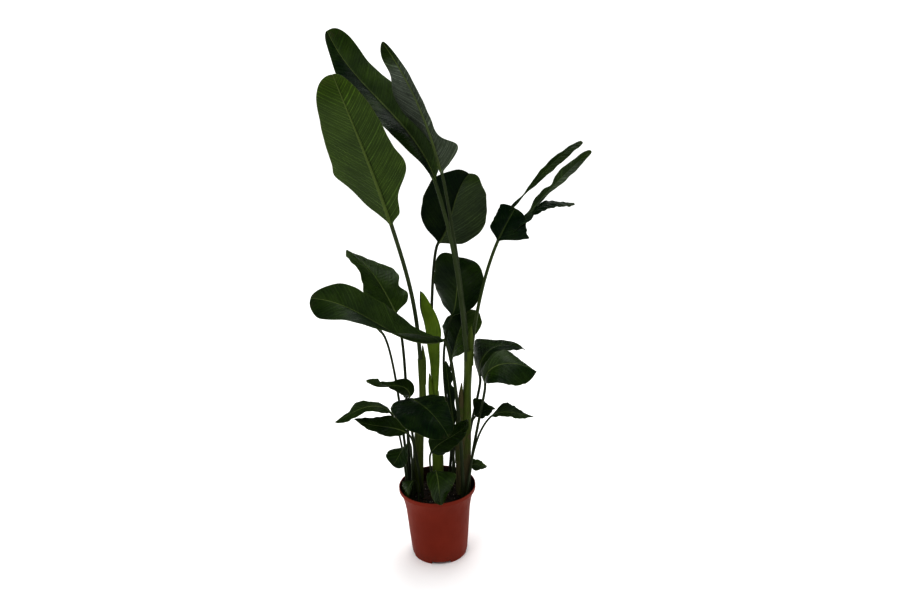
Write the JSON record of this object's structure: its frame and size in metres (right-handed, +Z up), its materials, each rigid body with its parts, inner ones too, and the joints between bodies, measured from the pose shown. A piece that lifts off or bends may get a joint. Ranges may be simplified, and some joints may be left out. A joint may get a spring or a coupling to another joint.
{
  "type": "potted giant white bird of paradise plant",
  "caption": "Tall potted foliage plant with long-stalked paddle leaves, some of them wind-torn, growing from leafy shoots in a round tapered nursery pot with a flared rim.",
  "frame": {"origin": "middle of the pot's foot, on the surface the pot stands on", "axes": "+Z up; -Y is the plant's front, the side shown in the picture; +X is the viewer's right"},
  "size_m": [0.8394, 0.5257, 1.6116],
  "materials": {
    "pot_plastic": "satin",
    "potting_soil": "matte",
    "shoot": "satin",
    "new_leaf": "satin",
    "leaf": "satin"
  },
  "bodies": {
    "root": {"pot": "pot_plastic", "soil": "potting_soil", "stem_right": "shoot", "stem_centre": "shoot", "stem_left": "shoot", "leaf_new_rolled": "new_leaf", "leaf_upper_left": "leaf", "leaf_top_long": "leaf", "leaf_top_folded": "leaf", "leaf_upper_round": "leaf", "leaf_right_torn": "leaf", "leaf_mid_left_high": "leaf", "leaf_mid_left_long": "leaf", "leaf_mid_left_small": "leaf", "leaf_mid_right_back": "leaf", "leaf_centre_back": "leaf", "leaf_centre_low": "leaf", "leaf_right_high": "leaf", "leaf_right_broad": "leaf", "leaf_right_low": "leaf", "leaf_right_small": "leaf", "leaf_rim_right": "leaf", "leaf_left_curled": "leaf", "leaf_left_arched": "leaf", "leaf_left_low": "leaf", "leaf_front_broad": "leaf", "leaf_front_low": "leaf", "leaf_rim_left": "leaf", "leaf_rim_front": "leaf", "leaf_rim_inner": "leaf"}
  },
  "joints": []
}
